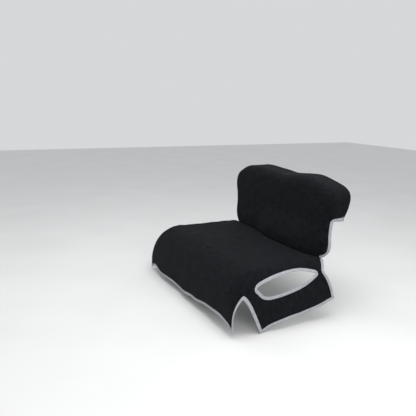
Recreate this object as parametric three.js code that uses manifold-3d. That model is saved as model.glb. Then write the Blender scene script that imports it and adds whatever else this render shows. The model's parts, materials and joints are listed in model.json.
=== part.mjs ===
// Terry towel cover for a two-person bench seat and its backrest.
//
// One long terry panel lies on the seat, rolls over its front edge as a skirt and hangs over both
// sides as flaps. A pocket of the same terry, the hood, pulls down over the backrest. Every free
// edge, and both armrest slots, are wrapped in a woven binding tape.
//
// The seat cloth is drawn as a flat pattern and draped: across the seat it follows a shoulder
// curve, along the seat it follows the front roll. The hood is a bag of even thickness around a
// rounded backrest.
//
// Millimetres. +X is the seat's left, -Y its front, +Z up. The origin is the centre of the flat
// underside of the seat panel.

import * as THREE from "three";
import { mergeVertices } from "three/addons/utils/BufferGeometryUtils.js";
import Module from "manifold-3d";

const wasm = await Module();
wasm.setup();

// ---------------------------------------------------------------- driving sizes

const clothThickness = 5;
const tapeThickness = 1.7;
const tapeWidth = 16;
const gap = 0.3; // between two pieces that touch

const seatHalfWidth = 553; // inside face of the side flaps
const shoulderRadius = 95; // seat top to side
const seatFront = -338; // inside face of the front skirt
const rollRadius = 160; // seat top to front
const skirtDrop = 265; // seat level to the middle of the front hem
const skirtHemRise = 14; // the front hem climbs this much on its way to the corners
const skirtCornerTrim = 50; // less cloth at the corners, where the shoulders lower it
const notchTurn = 0.838; // notch tip, as a share of the shoulder's quarter turn
const notchRoll = 0.466; // notch tip, as a share of the front roll's quarter turn
const foldBelowNotch = 11.5; // the skirt folds this far under the notch tip
const notchDivide = 5; // the skirt's and flap's folds meet this far in front of the notch tip
const flapFrontDrop = 307; // seat level to the flap's front lower corner
const flapRearDrop = 199; // seat level to the flap's rear lower corner
const flapFrontCorner = -181; // along the seat
const flapRearCorner = 280;
const flapRearTurn = 0.623; // top of the flap's rear edge, as a share of the shoulder's turn
const flapEdgeBow = 8; // how far the flap's front and rear edges bow backwards
const seatRearCorner = 243; // the seat panel's edge turns out here

const slotFront = -206;
const slotRear = 160;
const slotTopTurn = 0.523; // upper edge at mid length, as a share of the shoulder's turn
const slotBottomDrop = 122; // seat level to the slot's lower edge
const rearBridge = 6; // bare cloth between the slot's tape and the flap's rear tape

const backrestFront = 262; // inside face of the back panel
const backrestEdgeRadius = 40; // rounded vertical front edges
const backInset = 71; // the backrest is this much narrower than the seat on each side
const backEdgeSetback = 28; // the back panel's margins turn this far round the backrest
const hoodHemHeight = 205;
const hoodHemFlare = 8; // wider than the back panel by this much at the hem
const hoodCornerFlare = 12; // and at the pointed top corners
const headSwell = 7; // and wider again between them
const hoodCornerRise = 143; // hem to top corner
const hoodHumpRise = 62; // top corner to the top of each hump
const hoodDip = 16; // the top sags between the two humps
const hoodHemDepth = 88; // front to rear at the hem
const hoodTopDepth = 126; // front to rear at the top corners

const shoulderSteps = 6;
const rollSteps = 7;
const outlineSteps = 14; // points along each curved outline
const edgeRoundSteps = 4;
const sharpestCorner = 0.65; // outlines that grow are cut short at corners sharper than this
const creaseSetback = 15; // the seat's edge tape stops this far in front of the backrest
const farAway = 900; // reach of the cutting blocks

// ---------------------------------------------------------------- materials

const terry = new THREE.MeshStandardMaterial({ color: 0x202226, roughness: 1, metalness: 0 });
const tape = new THREE.MeshStandardMaterial({ color: 0xa8abb5, roughness: 0.8, metalness: 0 });

// ---------------------------------------------------------------- solids

function solidFrom(geometry) {
  const bare = new THREE.BufferGeometry().setAttribute("position", geometry.getAttribute("position"));
  bare.setIndex(geometry.index);
  const merged = mergeVertices(bare, 1e-3);
  return new wasm.Manifold(
    new wasm.Mesh({
      numProp: 3,
      vertProperties: new Float32Array(merged.attributes.position.array),
      triVerts: new Uint32Array(merged.index.array),
    }),
  );
}

const group = new THREE.Group();

function addPiece(name, solid, material) {
  const cut = solid.simplify(0.01).getMesh();
  const geometry = new THREE.BufferGeometry();
  geometry.setAttribute("position", new THREE.BufferAttribute(cut.vertProperties, 3));
  geometry.setIndex(new THREE.BufferAttribute(cut.triVerts, 1));
  geometry.computeVertexNormals();
  const piece = new THREE.Mesh(geometry, material.clone());
  piece.name = name;
  group.add(piece);
}

// A shape runs anticlockwise and its holes clockwise, whichever way their points were drawn.
function shapeFrom(points, holes = []) {
  const wound = (ring, turn) => (THREE.ShapeUtils.area(ring) * turn > 0 ? ring : [...ring].reverse());
  const shape = new THREE.Shape(wound(points, 1));
  shape.holes = holes.map((hole) => new THREE.Path(wound(hole, -1)));
  return shape;
}

// How near a place comes to a closed outline.
function distanceTo(points, place) {
  const spans = points.map((point, i) => {
    const along = points[(i + 1) % points.length].clone().sub(point);
    const from = place.clone().sub(point);
    const share = THREE.MathUtils.clamp(from.dot(along) / Math.max(along.lengthSq(), 1e-9), 0, 1);
    return from.addScaledVector(along, -share).length();
  });
  return Math.min(...spans);
}

// A closed outline moved outwards by a distance, its corners kept sharp. Points that would cross
// a neighbour's path at a tight bend are left out.
function grown(points, distance) {
  const turn = THREE.ShapeUtils.area(points) > 0 ? 1 : -1;
  const moved = points.map((point, i) => {
    const before = points[(i + points.length - 1) % points.length];
    const after = points[(i + 1) % points.length];
    const into = point.clone().sub(before).normalize();
    const out = after.clone().sub(point).normalize();
    const normal = new THREE.Vector2(into.y + out.y, -into.x - out.x).normalize();
    const lean = Math.max(sharpestCorner, normal.dot(new THREE.Vector2(into.y, -into.x)));
    return point.clone().addScaledVector(normal, (turn * distance) / lean);
  });
  return moved.filter((place) => distanceTo(points, place) > 0.97 * Math.abs(distance));
}

// A side outline (along, up) made into a block across the seat, from one X to the other.
function sideBlock(points, fromX, toX) {
  const geometry = new THREE.ExtrudeGeometry(shapeFrom(points), {
    depth: toX - fromX,
    bevelEnabled: false,
  });
  geometry.applyMatrix4(
    new THREE.Matrix4().makeBasis(
      new THREE.Vector3(0, 1, 0),
      new THREE.Vector3(0, 0, 1),
      new THREE.Vector3(1, 0, 0),
    ),
  );
  geometry.translate(fromX, 0, 0);
  return solidFrom(geometry);
}

function block(low, high) {
  const size = high.map((value, i) => value - low[i]);
  const geometry = new THREE.BoxGeometry(...size);
  geometry.translate(...low.map((value, i) => value + size[i] / 2));
  return solidFrom(geometry);
}

// ---------------------------------------------------------------- draping the seat cloth

const quarter = Math.PI / 2;
const flatHalfWidth = seatHalfWidth - shoulderRadius;
const flatFront = -seatFront - rollRadius;

// Where each facet line of a round stretch lies along the flat cloth.
function roundLines(start, radius, steps) {
  return Array.from({ length: steps + 1 }, (_, i) => start + (i * radius * quarter) / steps);
}

const acrossLines = roundLines(flatHalfWidth, shoulderRadius, shoulderSteps);
const alongLines = roundLines(flatFront, rollRadius, rollSteps);

// Runs straight, turns down a quarter circle in even facets, then drops straight. The offset is
// measured outwards from the inside face of the cloth.
function rollOver(distance, lines, radius, offset) {
  const start = lines[0];
  const end = lines[lines.length - 1];
  if (distance <= start) return [distance, offset];
  if (distance >= end) return [start + radius + offset, -radius - (distance - end)];
  const step = (end - start) / (lines.length - 1);
  const facet = Math.floor((distance - start) / step + 1e-9);
  const share = (distance - start) / step - facet;
  const angles = [facet, facet + 1].map((i) => (i * quarter) / (lines.length - 1));
  const [reach, rise] = [Math.sin, Math.cos].map((wave) =>
    THREE.MathUtils.lerp(wave(angles[0]), wave(angles[1]), share),
  );
  return [start + (radius + offset) * reach, (radius + offset) * rise - radius];
}

// A point of the flat cloth (across, along), lifted off the seat by an offset.
function draped(across, along, offset) {
  const [x, dropAcross] = rollOver(Math.abs(across), acrossLines, shoulderRadius, offset);
  const [front, dropAlong] = rollOver(along, alongLines, rollRadius, offset);
  return new THREE.Vector3(Math.sign(across) * x, -front, dropAcross + dropAlong - offset);
}

// Cuts every triangle that crosses the line where one coordinate has the given value.
function slicedAt(corners, axis, value) {
  const result = [];
  for (let i = 0; i < corners.length; i += 3) {
    const triangle = corners.slice(i, i + 3);
    const sides = triangle.map((corner) => {
      const away = corner.getComponent(axis) - value;
      return Math.abs(away) < 0.02 ? 0 : Math.sign(away);
    });
    if (!(sides.includes(1) && sides.includes(-1))) {
      result.push(...triangle);
      continue;
    }
    const pieces = { 1: [], "-1": [] };
    for (let k = 0; k < 3; k++) {
      const [here, next] = [triangle[k], triangle[(k + 1) % 3]];
      const [side, nextSide] = [sides[k], sides[(k + 1) % 3]];
      if (side >= 0) pieces[1].push(here);
      if (side <= 0) pieces[-1].push(here);
      if (side * nextSide === -1) {
        const [low, high] = side < 0 ? [here, next] : [next, here];
        const reach = high.getComponent(axis) - low.getComponent(axis);
        const share = (value - low.getComponent(axis)) / reach;
        const middle = low.clone().lerp(high, share).setComponent(axis, value);
        pieces[1].push(middle);
        pieces[-1].push(middle);
      }
    }
    for (const piece of Object.values(pieces))
      for (let k = 1; k + 1 < piece.length; k++) result.push(piece[0], piece[k], piece[k + 1]);
  }
  return result;
}

// A flat pattern shape of even thickness, bent along the seat's facet lines. The pattern's along
// axis points to -Y, which mirrors it, so the corners are read backwards.
function drapedSolid(shape, insideOffset, outsideOffset) {
  const flat = new THREE.ExtrudeGeometry(shape, { depth: 1, bevelEnabled: false });
  const places = flat.getAttribute("position");
  let corners = Array.from({ length: places.count }, (_, i) =>
    new THREE.Vector3().fromBufferAttribute(places, i),
  );
  for (const line of acrossLines) {
    corners = slicedAt(corners, 0, line);
    corners = slicedAt(corners, 0, -line);
  }
  for (const line of alongLines) corners = slicedAt(corners, 1, line);
  const bent = corners.map((corner) =>
    draped(corner.x, corner.y, THREE.MathUtils.lerp(insideOffset, outsideOffset, corner.z)),
  );
  return solidFrom(new THREE.BufferGeometry().setFromPoints(bent.reverse()));
}

// ---------------------------------------------------------------- the flat pattern of the seat cloth

const at = (across, along) => new THREE.Vector2(across, along);

function smooth(points, count = outlineSteps) {
  return new THREE.SplineCurve(points).getPoints(count);
}

// How far across the cloth a place on the hanging side lies, from its drop below the seat.
const acrossAtDrop = (drop) => flatHalfWidth + shoulderRadius * (quarter - 1) + drop;
// How far along the cloth a place on the hanging front lies, from its drop below the seat.
const alongAtDrop = (drop) => flatFront + rollRadius * (quarter - 1) + drop;

// How far across the cloth a share of the shoulder's turn lies.
const acrossAtTurn = (share) => flatHalfWidth + share * shoulderRadius * quarter;

const notchTip = at(acrossAtTurn(notchTurn), flatFront + notchRoll * rollRadius * quarter);
const flapFrontLow = at(acrossAtDrop(flapFrontDrop), -flapFrontCorner);
const flapRearLow = at(acrossAtDrop(flapRearDrop), -flapRearCorner);
const flapRearTop = slotRear + tapeWidth / sharpestCorner + rearBridge + tapeWidth;
const flapRearHigh = at(acrossAtTurn(flapRearTurn), -flapRearTop);
const skirtHemMiddle = alongAtDrop(skirtDrop);
const backHalfWidth = seatHalfWidth - backInset;
const seatRearEnd = -backrestFront - 2 * tapeWidth; // drawn past the crease, and cut there

// A place part of the way from one corner to another, moved off the straight line.
const between = (from, to, share, move) => from.clone().lerp(to, share).add(move);

// One side of the outline, from the rear of the seat panel round to the middle of the front hem.
function outlineSide() {
  const bow = at(0, -flapEdgeBow);
  const flapRear = smooth([flapRearHigh, between(flapRearHigh, flapRearLow, 0.55, bow), flapRearLow]);
  const flapHem = smooth([
    flapRearLow,
    between(flapRearLow, flapFrontLow, 0.38, at(flapEdgeBow / 2, 0)),
    between(flapRearLow, flapFrontLow, 0.75, at(-1.6 * flapEdgeBow, 0)),
    flapFrontLow,
  ]);
  const flapFront = smooth([flapFrontLow, between(flapFrontLow, notchTip, 0.7, bow), notchTip]);
  const skirtHem = smooth([
    at(notchTip.x, skirtHemMiddle - skirtCornerTrim),
    at(0.85 * notchTip.x, skirtHemMiddle - 1.6 * skirtHemRise),
    at(0.6 * notchTip.x, skirtHemMiddle - skirtHemRise),
    at(0, skirtHemMiddle),
  ]);
  return [
    at(backHalfWidth, seatRearEnd),
    at(backHalfWidth, -seatRearCorner),
    ...flapRear,
    ...flapHem.slice(1),
    ...flapFront.slice(1),
    ...skirtHem,
  ];
}

const mirrored = (points) => points.map((point) => at(-point.x, point.y)).reverse();
const side = outlineSide();
const outline = [...side, ...mirrored(side).slice(1)];

// The leaf-shaped armrest slot, nearly straight above and deep and round at its front: each place
// is a share of its length from the rear tip, and a share of its depth from the upper edge.
const slotLeaf = [
  [0, 0.2],
  [0.3, -0.08],
  [0.66, 0.06],
  [0.99, 0.39],
  [0.97, 0.63],
  [0.87, 0.96],
  [0.66, 0.98],
  [0.3, 0.71],
  [0, 0.2],
];
const slotUpper = acrossAtTurn(slotTopTurn);
const slotDepth = acrossAtDrop(slotBottomDrop) - slotUpper;
const slotPlaces = slotLeaf.map(([length, depth]) =>
  at(slotUpper + depth * slotDepth, THREE.MathUtils.lerp(-slotRear, -slotFront, length)),
);
const slot = smooth(slotPlaces, 2 * outlineSteps).slice(1);
const slots = [slot, mirrored(slot)];

const terrySheet = drapedSolid(shapeFrom(outline, slots), 0, clothThickness);

// Tape folded over an edge: a sleeve round the cloth, less the cloth with its clearance.
function tapeAround(sleeveShape, clothShape) {
  const sleeve = drapedSolid(sleeveShape, -tapeThickness, clothThickness + tapeThickness);
  return sleeve.subtract(drapedSolid(clothShape, -gap, clothThickness + gap));
}

const rim = tapeAround(
  shapeFrom(grown(outline, tapeThickness), [grown(outline, -tapeWidth)]),
  shapeFrom(grown(outline, gap)),
);
const slotRims = slots.map((edge) =>
  tapeAround(
    shapeFrom(grown(edge, tapeWidth), [grown(edge, -tapeThickness)]),
    shapeFrom(grown(edge, 2 * tapeWidth), [grown(edge, -gap)]),
  ),
);

// ---------------------------------------------------------------- folds

const notchPlace = draped(notchTip.x, notchTip.y, 0);
const flapRearPlace = draped(flapRearHigh.x, flapRearHigh.y, 0);
const foldHeight = notchPlace.z - foldBelowNotch;
const flapFoldFront = at(notchPlace.y - notchDivide, foldHeight);
const flapFoldSlope = (flapRearPlace.z - flapFoldFront.y) / (flapRearPlace.y - flapFoldFront.x);
const flapFoldAt = (along) => at(along, flapFoldFront.y + flapFoldSlope * (along - flapFoldFront.x));
const lowerBy = (point, distance) => point.clone().add(at(0, -distance));

// Everything below the skirt's fold and in front of the notch tip.
const skirtZone = block(
  [-farAway, -farAway, -farAway],
  [farAway, flapFoldFront.x, foldHeight - gap / 2],
);

// Everything below the flap's fold and behind the notch tip, on one side.
function flapZone(sign) {
  const points = [
    lowerBy(flapFoldFront, gap / 2),
    at(flapFoldFront.x, -farAway),
    at(farAway, -farAway),
    lowerBy(flapFoldAt(farAway), gap / 2),
  ];
  return sign > 0 ? sideBlock(points, 0, farAway) : sideBlock(points, -farAway, 0);
}

// Everything above both folds and in front of a plane across the rear of the seat.
function seatZone(rear) {
  return sideBlock(
    [
      at(-farAway, foldHeight + gap / 2),
      lowerBy(flapFoldFront, -gap / 2),
      lowerBy(flapFoldAt(rear), -gap / 2),
      at(rear, farAway),
      at(-farAway, farAway),
    ],
    -farAway,
    farAway,
  );
}

// The seat cloth above the folds is one cloth. It is parted where its flat top meets the front
// roll and the shoulders, so that each curved stretch has collision pieces of its own.
const rollZone = block([-farAway, -farAway, -farAway], [farAway, -flatFront - gap / 2, farAway]);
const topZone = block(
  [-flatHalfWidth + gap / 2, -flatFront + gap / 2, -farAway],
  [flatHalfWidth - gap / 2, farAway, farAway],
);

// The shoulder on one side, behind the front roll.
function shoulderZone(sign) {
  const [inner, outer] = [flatHalfWidth + gap / 2, farAway].map((reach) => sign * reach);
  return block(
    [Math.min(inner, outer), -flatFront + gap / 2, -farAway],
    [Math.max(inner, outer), farAway, farAway],
  );
}

// ---------------------------------------------------------------- the hood

const hoodCornerHeight = hoodHemHeight + hoodCornerRise;
const hoodHumpHeight = hoodCornerHeight + hoodHumpRise;
const hoodCornerHalfWidth = backHalfWidth + hoodCornerFlare;
const hoodTop = hoodHumpHeight + 3 * backrestEdgeRadius;
const rearLean = (hoodTopDepth - hoodHemDepth) / hoodCornerRise;
const rearAt = (height) => backrestFront + hoodHemDepth + rearLean * (height - hoodHemHeight);

// The front view of the backrest: straight low sides, a wider head with pointed top corners, and
// a top of two low humps.
function backrestOutline() {
  const sideOfHead = smooth([
    at(backHalfWidth, 0),
    at(backHalfWidth + hoodHemFlare / 2, 0.6 * hoodHemHeight),
    at(backHalfWidth + hoodHemFlare, hoodHemHeight),
    at(hoodCornerHalfWidth + headSwell, hoodHemHeight + hoodCornerRise / 2),
    at(hoodCornerHalfWidth, hoodCornerHeight),
  ]);
  const topOfHead = smooth([
    at(hoodCornerHalfWidth, hoodCornerHeight),
    at(0.75 * hoodCornerHalfWidth, hoodCornerHeight + 0.7 * hoodHumpRise),
    at(0.5 * hoodCornerHalfWidth, hoodHumpHeight),
    at(0.2 * hoodCornerHalfWidth, hoodHumpHeight - hoodDip / 2),
    at(0, hoodHumpHeight - hoodDip),
  ]);
  const half = [at(backHalfWidth, -hoodHemHeight), ...sideOfHead, ...topOfHead.slice(1)];
  return [...half, ...mirrored(half).slice(1)];
}

// The backrest grown by an offset: its front edges are rounded and its rear leans back.
function backrestForm(offset) {
  const radius = backrestEdgeRadius + offset;
  const core = shapeFrom(grown(backrestOutline(), -backrestEdgeRadius));
  const geometry = new THREE.ExtrudeGeometry(core, {
    depth: 2 * farAway,
    bevelEnabled: true,
    bevelThickness: radius,
    bevelSize: radius,
    bevelSegments: edgeRoundSteps,
  });
  geometry.rotateX(quarter);
  geometry.translate(0, backrestFront + backrestEdgeRadius + 2 * farAway, 0);
  const front = backrestFront - 2 * backrestEdgeRadius;
  const inFrontOfRear = sideBlock(
    [
      at(front, -hoodHemHeight),
      at(rearAt(-hoodHemHeight) + offset, -hoodHemHeight),
      at(rearAt(hoodTop) + offset, hoodTop),
      at(front, hoodTop),
    ],
    -farAway,
    farAway,
  );
  return solidFrom(geometry).intersect(inFrontOfRear);
}

const shell = (inside, outside) => backrestForm(outside).subtract(backrestForm(inside));

// The cloth that the hood and back panel keep: all of it above the hem, and below the hem only
// the back panel with its turned margins.
function backZone(grow, bottom) {
  const edge = backrestFront + backEdgeSetback + grow;
  return sideBlock(
    [
      at(0, bottom),
      at(edge, bottom),
      at(edge, hoodHemHeight - grow),
      at(farAway, hoodHemHeight - grow),
      at(farAway, farAway),
      at(0, farAway),
    ],
    -farAway,
    farAway,
  );
}

// Everything behind the rear seam of the hood.
function behindRear(shift) {
  return sideBlock(
    [
      at(rearAt(-hoodHemHeight) + shift, -hoodHemHeight),
      at(farAway, -hoodHemHeight),
      at(farAway, hoodTop),
      at(rearAt(hoodTop) + shift, hoodTop),
    ],
    -farAway,
    farAway,
  );
}

const creaseHeight = clothThickness + gap;
const hoodCloth = shell(0, clothThickness).intersect(backZone(0, creaseHeight));
const hoodTape = shell(-tapeThickness, clothThickness + tapeThickness)
  .intersect(backZone(tapeThickness, creaseHeight))
  .subtract(backZone(-tapeWidth, -hoodHemHeight))
  .subtract(shell(-gap, clothThickness + gap).intersect(backZone(gap, -hoodHemHeight)));

// ---------------------------------------------------------------- pieces

const leftHalf = block([0, -farAway, -farAway], [farAway, farAway, farAway]);
const rightHalf = block([-farAway, -farAway, -farAway], [0, farAway, farAway]);
const sides = [
  { name: "left", sign: 1, half: leftHalf },
  { name: "right", sign: -1, half: rightHalf },
];
const tapeRear = backrestFront - creaseSetback;

const seatCloth = terrySheet.intersect(seatZone(backrestFront));
addPiece("seat_panel", seatCloth.intersect(topZone), terry);
addPiece("seat_front_roll", seatCloth.intersect(rollZone), terry);
addPiece("front_skirt", terrySheet.intersect(skirtZone), terry);
addPiece("front_skirt_binding", rim.intersect(skirtZone), tape);
addPiece("back_panel", hoodCloth.subtract(behindRear(-gap)), terry);
addPiece("hood_rear_panel", hoodCloth.intersect(behindRear(0)), terry);

const rearHemZone = behindRear(-tapeThickness).intersect(
  block([-farAway, 0, hoodHemHeight - 2 * tapeThickness], [farAway, farAway, farAway]),
);
const sideHemZone = block(
  [-farAway, 0, hoodHemHeight - tapeThickness],
  [farAway, farAway, farAway],
).subtract(behindRear(-tapeThickness - gap));
const backEdgeZone = block([-farAway, 0, 0], [farAway, farAway, hoodHemHeight - tapeThickness - gap]);
addPiece("hood_rear_binding", hoodTape.intersect(rearHemZone), tape);

// The separate bodies of a solid, front to rear.
function frontToRear(solid) {
  const middle = (body) => body.boundingBox().min[1] + body.boundingBox().max[1];
  return solid.decompose().sort((one, other) => middle(one) - middle(other));
}

for (const { name, sign, half } of sides) {
  const zone = flapZone(sign);
  const slotRim = slotRims[sign > 0 ? 0 : 1];
  const seatTapes = frontToRear(rim.intersect(seatZone(tapeRear)).intersect(half));
  addPiece(`${name}_seat_shoulder`, seatCloth.intersect(shoulderZone(sign)), terry);
  addPiece(`${name}_side_flap`, terrySheet.intersect(zone), terry);
  addPiece(`${name}_flap_binding`, rim.intersect(zone), tape);
  addPiece(`${name}_slot_lower_binding`, slotRim.intersect(zone), tape);
  addPiece(`${name}_slot_upper_binding`, slotRim.intersect(seatZone(tapeRear)), tape);
  addPiece(`${name}_notch_binding`, seatTapes[0], tape);
  addPiece(`${name}_seat_edge_binding`, seatTapes[1], tape);
  addPiece(`${name}_back_edge_binding`, hoodTape.intersect(backEdgeZone).intersect(half), tape);
  addPiece(`${name}_hood_side_binding`, hoodTape.intersect(sideHemZone).intersect(half), tape);
}

export default group;
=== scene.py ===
# %% [markdown]
# # A terry towel cover for a bench seat
#
# The cover is a soft thing made of a few cut cloths: a seat cloth with a front skirt and two side
# flaps, and a bag, the hood, that pulls down over the backrest. Each free edge is folded into a
# light grey tape. Everything here is made the way a sewing room would make it: draw the flat
# pattern, cut it, lay it over the form, let it settle, then sew the tape on.
#
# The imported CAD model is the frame. Its solids say where each cloth lies and which pieces move.

# %% Load the frame
import json
import math

import bmesh
import bpy
import numpy as np
from mathutils import Matrix, Vector, geometry, kdtree, noise
from mathutils.bvhtree import BVHTree


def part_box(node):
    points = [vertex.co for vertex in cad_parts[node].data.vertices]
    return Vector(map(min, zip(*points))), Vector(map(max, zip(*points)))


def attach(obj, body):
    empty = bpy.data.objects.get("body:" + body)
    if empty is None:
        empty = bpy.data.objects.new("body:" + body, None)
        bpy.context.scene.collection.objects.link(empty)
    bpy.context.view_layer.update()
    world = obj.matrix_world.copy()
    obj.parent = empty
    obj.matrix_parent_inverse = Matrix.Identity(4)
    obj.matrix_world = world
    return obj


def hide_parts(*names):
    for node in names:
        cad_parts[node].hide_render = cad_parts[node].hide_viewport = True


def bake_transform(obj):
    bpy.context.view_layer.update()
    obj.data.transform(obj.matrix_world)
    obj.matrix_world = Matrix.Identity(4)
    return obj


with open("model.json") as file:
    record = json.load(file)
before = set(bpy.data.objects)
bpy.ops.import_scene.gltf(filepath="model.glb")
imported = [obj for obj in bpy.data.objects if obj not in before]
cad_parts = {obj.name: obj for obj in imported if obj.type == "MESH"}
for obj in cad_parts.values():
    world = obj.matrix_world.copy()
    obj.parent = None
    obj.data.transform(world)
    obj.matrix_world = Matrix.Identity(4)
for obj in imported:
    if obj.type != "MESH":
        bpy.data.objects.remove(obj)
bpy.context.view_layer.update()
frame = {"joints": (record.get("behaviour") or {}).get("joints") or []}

# %% [markdown]
# ## Sizes
#
# The planes that the cloth hangs on come from the boxes of the CAD nodes. The radii, corners and
# cuts of the pattern repeat the CAD source's values, in metres. In the pattern, "across" runs
# from the middle of the seat to its sides, and "along" runs from the backrest to the front.

# %% Sizes of the seat and the cloth
terry = 0.005
half_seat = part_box("left_side_flap")[1].x - terry
seat_front = -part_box("front_skirt")[0].y - terry
back_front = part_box("back_panel")[0].y + terry
shoulder_radius = 0.095
roll_radius = 0.160
half_back = 0.482
tape_width = 0.0145
quarter = math.pi / 2
flat_half = half_seat - shoulder_radius
flat_front = seat_front - roll_radius
print(f"seat half width {half_seat:.3f}, front {seat_front:.3f}, backrest {back_front:.3f} m")

# %% [markdown]
# ## Draping by formula
#
# A cloth on a bench bends one way over the shoulders and the other way over the front. Both
# bends are a flat run, a quarter turn and a straight drop, so a place on the pattern can be
# carried straight to its place on the seat. The lift is the height above the seat's own surface.


# %% From the pattern to the seat
def turn_down(distance, start, radius, lift):
    """How far out and how far up a place is, on a run that turns down over a round edge."""
    angle = np.clip((distance - start) / radius, 0, quarter)
    past = np.maximum(distance - start - radius * quarter, 0)
    out = np.minimum(distance, start) + (radius + lift) * np.sin(angle)
    return out, (radius + lift) * np.cos(angle) - radius - past


def on_seat(pattern, lift=terry / 2):
    """The places on the seat of an array of pattern places."""
    across, along = pattern[:, 0], pattern[:, 1]
    out, drop_side = turn_down(np.abs(across), flat_half, shoulder_radius, lift)
    front, drop_front = turn_down(along, flat_front, roll_radius, lift)
    return np.stack([np.sign(across) * out, -front, drop_side + drop_front - lift], axis=1)


def across_at_drop(drop):
    return flat_half + shoulder_radius * (quarter - 1) + drop


def across_at_turn(share):
    return flat_half + share * shoulder_radius * quarter


print("middle of the front hem hangs at", on_seat(np.array([[0.0, 0.54]])).round(3))

# %% [markdown]
# ## Drawing the pattern
#
# A pattern's curves are drawn through a few marked places, as with a flexible ruler. The line is
# then cut into even steps, because an even line makes even triangles and an even tape.

# %% Lines of the pattern
edge_step, fine_step = 0.005, 0.002


def run_along(line):
    """How far along a line each of its points is."""
    return np.r_[0, np.cumsum(np.linalg.norm(np.diff(line, axis=0), axis=1))]


def unit(arrows):
    """Directions brought to a length of 1."""
    return arrows / np.maximum(np.linalg.norm(arrows, axis=1), 1e-12)[:, None]


def evenly(line, step=edge_step):
    """The same line with its points an even step apart."""
    line = np.array(line, float)
    run = run_along(line)
    at = np.linspace(0, run[-1], max(2, round(run[-1] / step) + 1))
    return np.stack([np.interp(at, run, line[:, k]) for k in range(line.shape[1])], axis=1)


def through(places, step=edge_step):
    """A smooth line through a few marked places."""
    p = np.array(places, float)
    p = np.vstack([p[:1], p, p[-1:]])
    t = np.linspace(0, 1, 24, endpoint=False)[:, None]
    line = []
    for a, b, c, d in zip(p, p[1:], p[2:], p[3:]):
        cube = (3 * b - a - 3 * c + d) * t**3
        line.append(0.5 * (2 * b + (c - a) * t + (2 * a - 5 * b + 4 * c - d) * t**2 + cube))
    return evenly(np.vstack([*line, p[-1:]]), step)


def between(a, b, share, move=(0, 0)):
    return np.array(a) + share * (np.array(b) - np.array(a)) + np.array(move)


def closed(ring):
    """A closed line with its first point put at its end again."""
    return np.vstack([ring, ring[:1]])


def joined(*lines):
    """Several lines in a row as one closed line, with no point twice."""
    ring = np.vstack(lines)
    keep = np.linalg.norm(ring - np.roll(ring, 1, axis=0), axis=1) > 1e-5
    return ring[keep]


def softened(ring):
    """A closed line with its sharp corners eased, as a folded tape eases them."""
    return 0.25 * np.roll(ring, 1, axis=0) + 0.5 * ring + 0.25 * np.roll(ring, -1, axis=0)


# %% [markdown]
# ## The seat cloth's pattern
#
# The seat cloth is one piece: top, skirt and both flaps. A notch is cut between the skirt and
# each flap, so that the corner needs no gathers. The front hem is cut by eye on the real cover,
# so it wanders by a centimetre. At the rear the cloth ends in the crease, and the crease
# comes forward in the middle, where the backrest's lower cushion is full.

# %% Seat cloth outline
crease_bulge = through(
    [(-0.482, 0.0), (-0.41, 0.0), (-0.18, 0.014), (-0.02, 0.046), (0.16, 0.052), (0.32, 0.048),
     (0.42, 0.026), (0.482, 0.008)]
)
crease_tuck = 0.008


def bulge_at(x):
    """How far the lower backrest bulges forward at a place across it."""
    return np.interp(x, crease_bulge[:, 0], crease_bulge[:, 1])


def crease_at(x):
    """Where the crease runs, as a Y in the row frame."""
    return back_front - terry / 2 - bulge_at(x) + crease_tuck


notch_tip = (across_at_turn(0.838), flat_front + 0.466 * roll_radius * quarter)
flap_front_low = (across_at_drop(0.307), 0.181)
flap_rear_low = (across_at_drop(0.199), -0.280)
flap_rear_high = (across_at_turn(0.623), -0.2066)
rear_corner = (half_back, -0.243)
rear_end_lower = 0.003
hem_places = [
    (-notch_tip[0], 0.483), (-0.514, 0.519), (-0.389, 0.546), (-0.20, 0.539), (-0.12, 0.546),
    (-0.028, 0.543), (0.090, 0.531), (0.146, 0.531), (0.277, 0.515), (0.405, 0.507),
    (0.4885, 0.513), (notch_tip[0], 0.481),
]


def side_lines():
    """The outline of one side, from the crease round the flap to the skirt's corner."""
    hem = [
        flap_rear_low,
        between(flap_rear_low, flap_front_low, 0.38, (0.004, 0)),
        between(flap_rear_low, flap_front_low, 0.75, (-0.0128, 0)),
        flap_front_low,
    ]
    rear_bow = between(flap_rear_high, flap_rear_low, 0.55, (0, -0.008))
    front_bow = between(flap_front_low, notch_tip, 0.7, (0, -0.008))
    return [
        through([flap_rear_high, rear_bow, flap_rear_low]),
        through(hem),
        through([flap_front_low, front_bow, notch_tip]),
    ]


def mirrored(line):
    return (line * [-1, 1])[::-1]


def seat_outline():
    rear_x = np.linspace(-half_back, half_back, round(2 * half_back / edge_step))
    rear = np.stack([rear_x, -crease_at(rear_x)], axis=1)
    rear[[0, -1], 1] = rear_corner[1] - rear_end_lower
    near = [evenly([rear[-1], rear_corner, flap_rear_high]), *side_lines()]
    skirt_hem = through(hem_places)[::-1]
    near.append(evenly([notch_tip, skirt_hem[0]]))
    far = [evenly([skirt_hem[-1], (-notch_tip[0], notch_tip[1])])]
    far += [mirrored(line) for line in side_lines()[::-1]]
    far.append(mirrored(evenly([rear[0] * [-1, 1], rear_corner, flap_rear_high])))
    return softened(joined(rear, *near, skirt_hem, *far))


seat_edge = seat_outline()
print("seat cloth:", len(seat_edge), "edge points,", np.ptp(seat_edge, axis=0).round(3), "m flat")

# %% [markdown]
# ## The armrest slots
#
# Each flap has a leaf-shaped slot, which the armrest's bracket passes through. It is nearly
# straight above, and deep and round at its front. The leaf is drawn as shares of its length and
# depth, so that its shape can be read off.

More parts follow.
